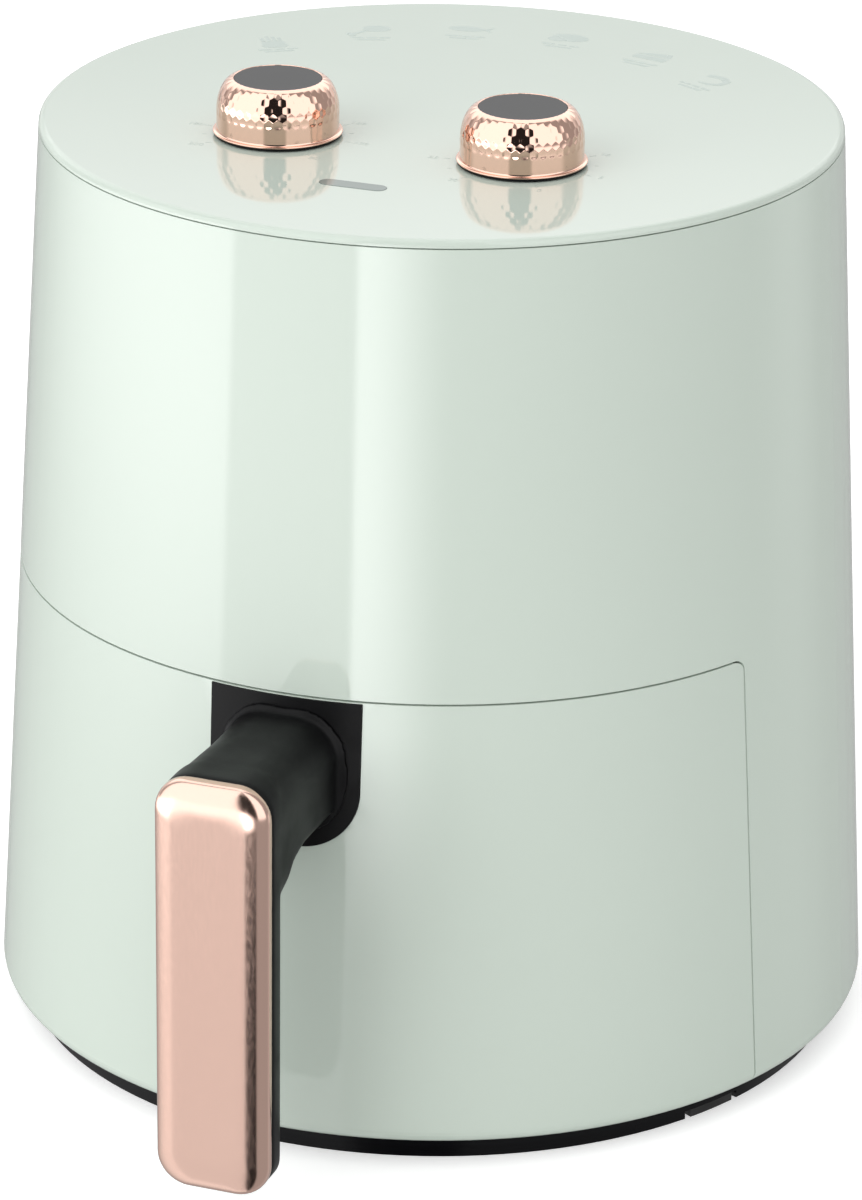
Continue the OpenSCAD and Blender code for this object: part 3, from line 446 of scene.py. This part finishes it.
# Hammer marks, in mm
DIMPLE_ROWS = 5
DIMPLE_COUNT = 42           # marks in a row
DIMPLE_LOW = 6.9            # height of the lowest row above the shell's foot
DIMPLE_PITCH = 2.1
DIMPLE_DEPTH = 0.14
DIMPLE_RADIUS = 1.42
DIMPLE_CIRCLE = 17.8        # radius on which the marks are spaced

KNOB_STEPS = 504            # points round the shell
SIDE_STEPS = 16
SHOULDER_STEPS = 44
SHOULDER_END = 88           # degrees of the shoulder's quarter ellipse, short of flat at the cap
FLANGE_OUT = 1.1 * MM
FLANGE_RISE = 0.5 * MM
FLANGE_FILLET = 0.5 * MM
KNOB_SIDE = 6.5 * MM        # height of the straight side
KNOB_WALL = 0.9 * MM
CAP_GAP = 0.05 * MM


def knob_profile(low, high, side_r, rim_r):
    """Outside of the hammered shell from its flange to the cap, as (radius, height) in metres."""
    lip_r = side_r + FLANGE_OUT
    half_rise = FLANGE_RISE / 2
    points = arc_points((lip_r - half_rise, low + half_rise), half_rise, -90, 90, 6)
    fillet_centre = (side_r + FLANGE_FILLET, low + FLANGE_RISE + FLANGE_FILLET)
    points += arc_points(fillet_centre, FLANGE_FILLET, 270, 180, 5)
    side_foot = fillet_centre[1] + 0.1 * MM
    side_top = low + KNOB_SIDE
    for i in range(SIDE_STEPS):
        points.append((side_r, side_foot + (side_top - side_foot) * i / SIDE_STEPS))
    for i in range(SHOULDER_STEPS + 1):
        a = math.radians(SHOULDER_END * i / SHOULDER_STEPS)
        points.append((rim_r + (side_r - rim_r) * math.cos(a), side_top + (high - side_top) * math.sin(a)))
    return points


def dimple_depth(angle, height):
    """Depth of the hammer marks at an angle round the knob and a height above its foot, in mm."""
    deepest = 0.0
    step = 2 * math.pi / DIMPLE_COUNT
    for row in range(DIMPLE_ROWS):
        rise = height - (DIMPLE_LOW + row * DIMPLE_PITCH)
        if abs(rise) > DIMPLE_RADIUS:
            continue
        shift = step / 2 * (row % 2)
        across = ((angle - shift + step / 2) % step - step / 2) * DIMPLE_CIRCLE
        near = (rise * rise + across * across) / DIMPLE_RADIUS ** 2
        if near < 1:
            deepest = max(deepest, DIMPLE_DEPTH * (1 - near))
    return deepest


def make_knob(prefix, materials):
    """The hammered shell of a knob, turned about the knob's axis."""
    node = prefix + "_knob_shell"
    low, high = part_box(node)
    cap_low, cap_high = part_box(prefix + "_knob_cap")
    centre = (low + high) / 2
    side_r = (high.x - low.x) / 2 - FLANGE_OUT
    rim_r = (cap_high.x - cap_low.x) / 2 + CAP_GAP
    outside = knob_profile(low.z, high.z, side_r, rim_r)
    inside = [
        (rim_r, high.z - KNOB_WALL),
        (rim_r + 2 * MM, high.z - 1.6 * MM),
        (side_r - KNOB_WALL, high.z - 7 * MM),
        (side_r - KNOB_WALL, low.z),
    ]
    rings = []
    for index, (radius, z) in enumerate(outside + inside):
        ring = []
        for i in range(KNOB_STEPS):
            a = 2 * math.pi * i / KNOB_STEPS
            mark = dimple_depth(a, (z - low.z) / MM) * MM if index < len(outside) else 0
            r = radius - mark
            ring.append((centre.x + r * math.cos(a), centre.y + r * math.sin(a), z))
        rings.append(ring)
    bm = bmesh.new()
    add_rings(bm, rings)
    slot = "rose_gold_hammered"
    knob = piece(prefix + "_knob_hammered", bm, materials[slot], prefix + "_knob")
    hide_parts(node)


# ---------- handle ----------

TRIM_SIDE = 6.5 * MM        # how far back the trim reaches
TRIM_CHAMFER = 0.3 * MM
TRIM_CORNER = 10 * MM
TRIM_ROLL = 12 * MM         # width of the rolled edge
TRIM_FALL = 5.8 * MM        # how far it falls back
TRIM_SQUARENESS = 2.7       # exponent of the roll's superellipse, so that it runs softly into the face
TRIM_STEPS = 30

# Where the neck flows into the grip: a block from one distance off the body's axis to another, whose
# section has the trim's width and goes from the neck's corners to the grip's
NECK_START = 0.150
NECK_END = 0.1813
NECK_HALF_HEIGHT = 13.5 * MM
NECK_CORNERS = (13 * MM, 10 * MM)
NECK_INSET = 0.1 * MM
NECK_STEPS = 8
GRIP_VOXEL = 0.8 * MM
GRIP_SMOOTHING = 16


def rounded_outline(half_w, half_h, radius, steps=10):
    points = []
    for sx, sy, start in ((1, 1, 0), (-1, 1, 90), (-1, -1, 180), (1, -1, 270)):
        centre = (sx * (half_w - radius), sy * (half_h - radius))
        points += arc_points(centre, radius, start, start + 90, steps)
    return points


def make_trim(materials):
    """Rose gold front of the grip, a flat pad with its edges rolled over."""
    low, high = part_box("handle_trim")
    half_w = (high.x - low.x) / 2
    half_h = (high.z - low.z) / 2
    middle = (high.z + low.z) / 2
    front = -low.y
    foot = front - TRIM_SIDE
    sections = [(foot, TRIM_CHAMFER), (foot + TRIM_CHAMFER, 0)]
    for i in range(TRIM_STEPS + 1):
        a = math.radians(90 * i / TRIM_STEPS)
        fall = 1 - max(math.sin(a), 0) ** (2 / TRIM_SQUARENESS)
        inset = 1 - max(math.cos(a), 0) ** (2 / TRIM_SQUARENESS)
        sections.append((front - TRIM_FALL * fall, TRIM_ROLL * inset))
    rings = []
    for place, inset in sections:
        radius = min(TRIM_CORNER - 0.45 * inset, half_w - inset)
        outline = rounded_outline(half_w - inset, half_h - inset, radius)
        rings.append([(x, -place, middle + z) for x, z in outline])
    bm = bmesh.new()
    add_rings(bm, rings, close_rings=False, cap=True)
    trim = piece("handle_trim_pad", bm, materials["rose_gold_satin"], "drawer")
    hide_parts("handle_trim")


def neck_rings():
    """Sections of the block that fills the corner between the neck and the grip."""
    low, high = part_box("handle_trim")
    half_w = (high.x - low.x) / 2 - NECK_INSET
    rings = []
    for i in range(NECK_STEPS + 1):
        t = i / NECK_STEPS
        corner = NECK_CORNERS[0] + (NECK_CORNERS[1] - NECK_CORNERS[0]) * t
        place = NECK_START + (NECK_END - NECK_START) * t
        middle = high.z - NECK_HALF_HEIGHT - NECK_INSET * (1 - t)
        outline = rounded_outline(half_w, NECK_HALF_HEIGHT, corner)
        rings.append([(x, -place, middle + z) for x, z in outline])
    return rings


def make_grip(materials):
    """The black handle, with the neck flowing into the grip's top and its edges softened."""
    mesh = NODES["handle_body"].data.copy()
    mesh.name = "handle_grip"
    bm = bmesh.new()
    bm.from_mesh(mesh)
    add_rings(bm, neck_rings(), close_rings=False, cap=True)
    bmesh.ops.recalc_face_normals(bm, faces=bm.faces)
    bm.to_mesh(mesh)
    bm.free()
    grip = bpy.data.objects.new("handle_grip", mesh)
    SCENE.collection.objects.link(grip)
    remesh = grip.modifiers.new("remesh", "REMESH")
    remesh.mode = "VOXEL"
    remesh.voxel_size = GRIP_VOXEL
    smooth = grip.modifiers.new("smooth", "SMOOTH")
    smooth.factor = 0.5
    smooth.iterations = GRIP_SMOOTHING
    graph = bpy.context.evaluated_depsgraph_get()
    made = bpy.data.meshes.new_from_object(grip.evaluated_get(graph))
    grip.modifiers.clear()
    grip.data = made
    made.polygons.foreach_set("use_smooth", [True] * len(made.polygons))
    made.materials.clear()
    made.materials.append(materials["black_matte"])
    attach(grip, "drawer")
    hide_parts("handle_body")


# ---------- printed marks ----------

PRINT_RISE = 0.03 * MM
PRINT_DEPTH = 0.05 * MM
PRINT_LAYER = 0.004 * MM    # each overlapping outline lies a little above the one before
ICON_SCALE = 1.3
ICON_CIRCLE = 91 * MM
ICON_AZIMUTHS = (-124.5, -145.6, -165.5, 173.8, 153.7, 134.3)
ICON_TURN = 0.6             # how far the icons turn towards the plate's middle, of the whole way
LABEL_HEIGHT = 1.2          # mm

# Dial scales, in mm
TICK_INNER = 21.2
TICK_OUTER = (23.2, 22.4)   # at a number, and between numbers
TICK_WIDTH = 0.4
NUMBER_CIRCLE = 26.2
NUMBER_SIZE = 3.2


def disc(x, y, rx, ry=None, steps=24):
    ry = ry or rx
    return [(x + rx * math.cos(2 * math.pi * i / steps), y + ry * math.sin(2 * math.pi * i / steps))
            for i in range(steps)]


def bar(x0, y0, x1, y1):
    return [(x0, y0), (x1, y0), (x1, y1), (x0, y1)]


def line(x0, y0, x1, y1, width):
    along = Vector((x1 - x0, y1 - y0)).normalized()
    off = Vector((-along.y, along.x)) * width / 2
    start = ((x0 - off.x, y0 - off.y), (x0 + off.x, y0 + off.y))
    end = ((x1 - off.x, y1 - off.y), (x1 + off.x, y1 + off.y))
    return [start[0], end[0], end[1], start[1]]


# Pictograms as lists of outlines in mm: chips, a drumstick, a fish, a steak, a cake and a prawn
CHIPS = [bar(x, 0.4, x + 0.9, top) for x, top in ((-2.5, 3.4), (-1.1, 4.6), (0.3, 4.0), (1.6, 3.0))]
ICONS = (
    [[(-3.2, -3.6), (-2.2, -5), (2.2, -5), (3.2, -3.6), (2.6, 0), (-2.6, 0)], *CHIPS],
    [disc(1.6, 1.2, 3.4, 2.6), line(-1, -0.8, -4.4, -3.6, 1.0), disc(-4.9, -3.2, 0.9),
     disc(-4.2, -4.2, 0.9)],
    [disc(-0.6, 0, 4.4, 2.1), [(3.2, 0), (5.8, 2.2), (5.0, 0), (5.8, -2.2)]],
    [disc(0, 0.2, 4.6, 3.0), disc(-2.6, -1.8, 2.4, 1.8)],
    [bar(-4.4, -3.2, 4.4, -0.4), [(-4.4, 0.2), (4.4, 0.2), (3.4, 3.2), (-2.4, 1.6)]],
    [line(-3.6, 2.2, 0.6, 3.2, 1.8), line(0.4, 3.2, 3.4, 1.2, 1.9), line(3.4, 1.4, 3.2, -1.6, 1.6),
     line(3.3, -1.5, 0.8, -3.2, 1.3), line(0.9, -3.1, -1.6, -3.0, 0.9)],
)
LABEL_BARS = ((-4.6, -8.2, -1.4), (-0.6, -8.2, 1.6), (2.4, -8.2, 4.8), (-3.4, -10.4, 3.6))


def add_print(bm, outline, centre, turn, top):
    """Raises an outline in mm, turned round its centre, a hair above the plate."""
    cos, sin = math.cos(turn), math.sin(turn)
    area = sum(a[0] * b[1] - a[1] * b[0] for a, b in zip(outline, outline[1:] + outline[:1]))
    if area < 0:
        outline = outline[::-1]
    loops = []
    for z in (top - PRINT_DEPTH, top + PRINT_RISE):
        loop = []
        for x, y in outline:
            x, y = x * MM, y * MM
            loop.append((centre[0] + x * cos - y * sin, centre[1] + x * sin + y * cos, z))
        loops.append(loop)
    add_rings(bm, loops, close_rings=False, cap=True)


def make_icons(materials):
    """Six pictograms round the back of the top, each over bars that stand for its label."""
    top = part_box("top_cover")[1].z
    bm = bmesh.new()
    for azimuth, icon in zip(ICON_AZIMUTHS, ICONS):
        a = math.radians(azimuth)
        centre = (ICON_CIRCLE * math.sin(a), -ICON_CIRCLE * math.cos(a))
        turn = (a - math.pi if a > 0 else a + math.pi) * ICON_TURN
        for layer, outline in enumerate(icon):
            shape = [(x * ICON_SCALE, y * ICON_SCALE) for x, y in outline]
            add_print(bm, shape, centre, turn, top + layer * PRINT_LAYER)
        for x0, y, x1 in LABEL_BARS:
            label = bar(x0 * ICON_SCALE, y - LABEL_HEIGHT / 2, x1 * ICON_SCALE, y + LABEL_HEIGHT / 2)
            add_print(bm, label, centre, turn, top)
    piece("cooking_icons", bm, materials["print_grey"], "housing", smooth=False)


def add_number(bm, text, size, x, y, top):
    """A printed number, made from the built-in font."""
    curve = bpy.data.curves.new("number", "FONT")
    curve.body = text
    curve.size = size
    curve.align_x = "CENTER"
    curve.align_y = "CENTER"
    curve.resolution_u = 3
    holder = bpy.data.objects.new("number", curve)
    SCENE.collection.objects.link(holder)
    graph = bpy.context.evaluated_depsgraph_get()
    flat = bpy.data.meshes.new_from_object(holder.evaluated_get(graph))
    flat.transform(Matrix.Translation((x, y, top - PRINT_DEPTH)))
    faces_before = len(bm.faces)
    bm.from_mesh(flat)
    bm.faces.ensure_lookup_table()
    grown = bmesh.ops.extrude_face_region(bm, geom=bm.faces[faces_before:])
    moved = [v for v in grown["geom"] if isinstance(v, bmesh.types.BMVert)]
    bmesh.ops.translate(bm, verts=moved, vec=(0, 0, PRINT_DEPTH + PRINT_RISE))
    bm.faces.ensure_lookup_table()
    bmesh.ops.recalc_face_normals(bm, faces=bm.faces[faces_before:])
    bpy.data.objects.remove(holder)
    bpy.data.curves.remove(curve)
    bpy.data.meshes.remove(flat)


def make_scale(prefix, numbers, sweep, materials):
    """Ticks and numbers round a knob. The first number is at the front."""
    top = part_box("top_cover")[1].z
    low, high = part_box(prefix + "_knob_shell")
    centre = ((low.x + high.x) / 2, (low.y + high.y) / 2)
    bm = bmesh.new()
    count = (len(numbers) - 1) * 2
    for i in range(count + 1):
        azimuth = math.radians(-sweep / 2 + sweep * i / count) + math.pi
        out = Vector((math.sin(azimuth), -math.cos(azimuth)))
        inner = out * TICK_INNER
        outer = out * TICK_OUTER[i % 2]
        add_print(bm, line(inner.x, inner.y, outer.x, outer.y, TICK_WIDTH), centre, 0, top)
        if i % 2 == 0:
            spot = out * NUMBER_CIRCLE * MM
            add_number(bm, numbers[i // 2], NUMBER_SIZE * MM, centre[0] + spot.x, centre[1] + spot.y, top)
    piece(prefix + "_scale", bm, materials["print_grey"], "housing", smooth=False)


# ---------- the scene ----------

make_camera()
make_light()
make_floor()
SCENE.view_settings.view_transform = "Standard"
materials = make_materials()
paint_nodes(materials)
make_knob("timer", materials)
make_knob("thermostat", materials)
make_trim(materials)
make_grip(materials)
make_icons(materials)
make_scale("timer", ["0", "5", "10", "15", "20", "25", "30"], 300, materials)
make_scale("thermostat", ["80", "100", "120", "140", "160", "180", "200"], 270, materials)
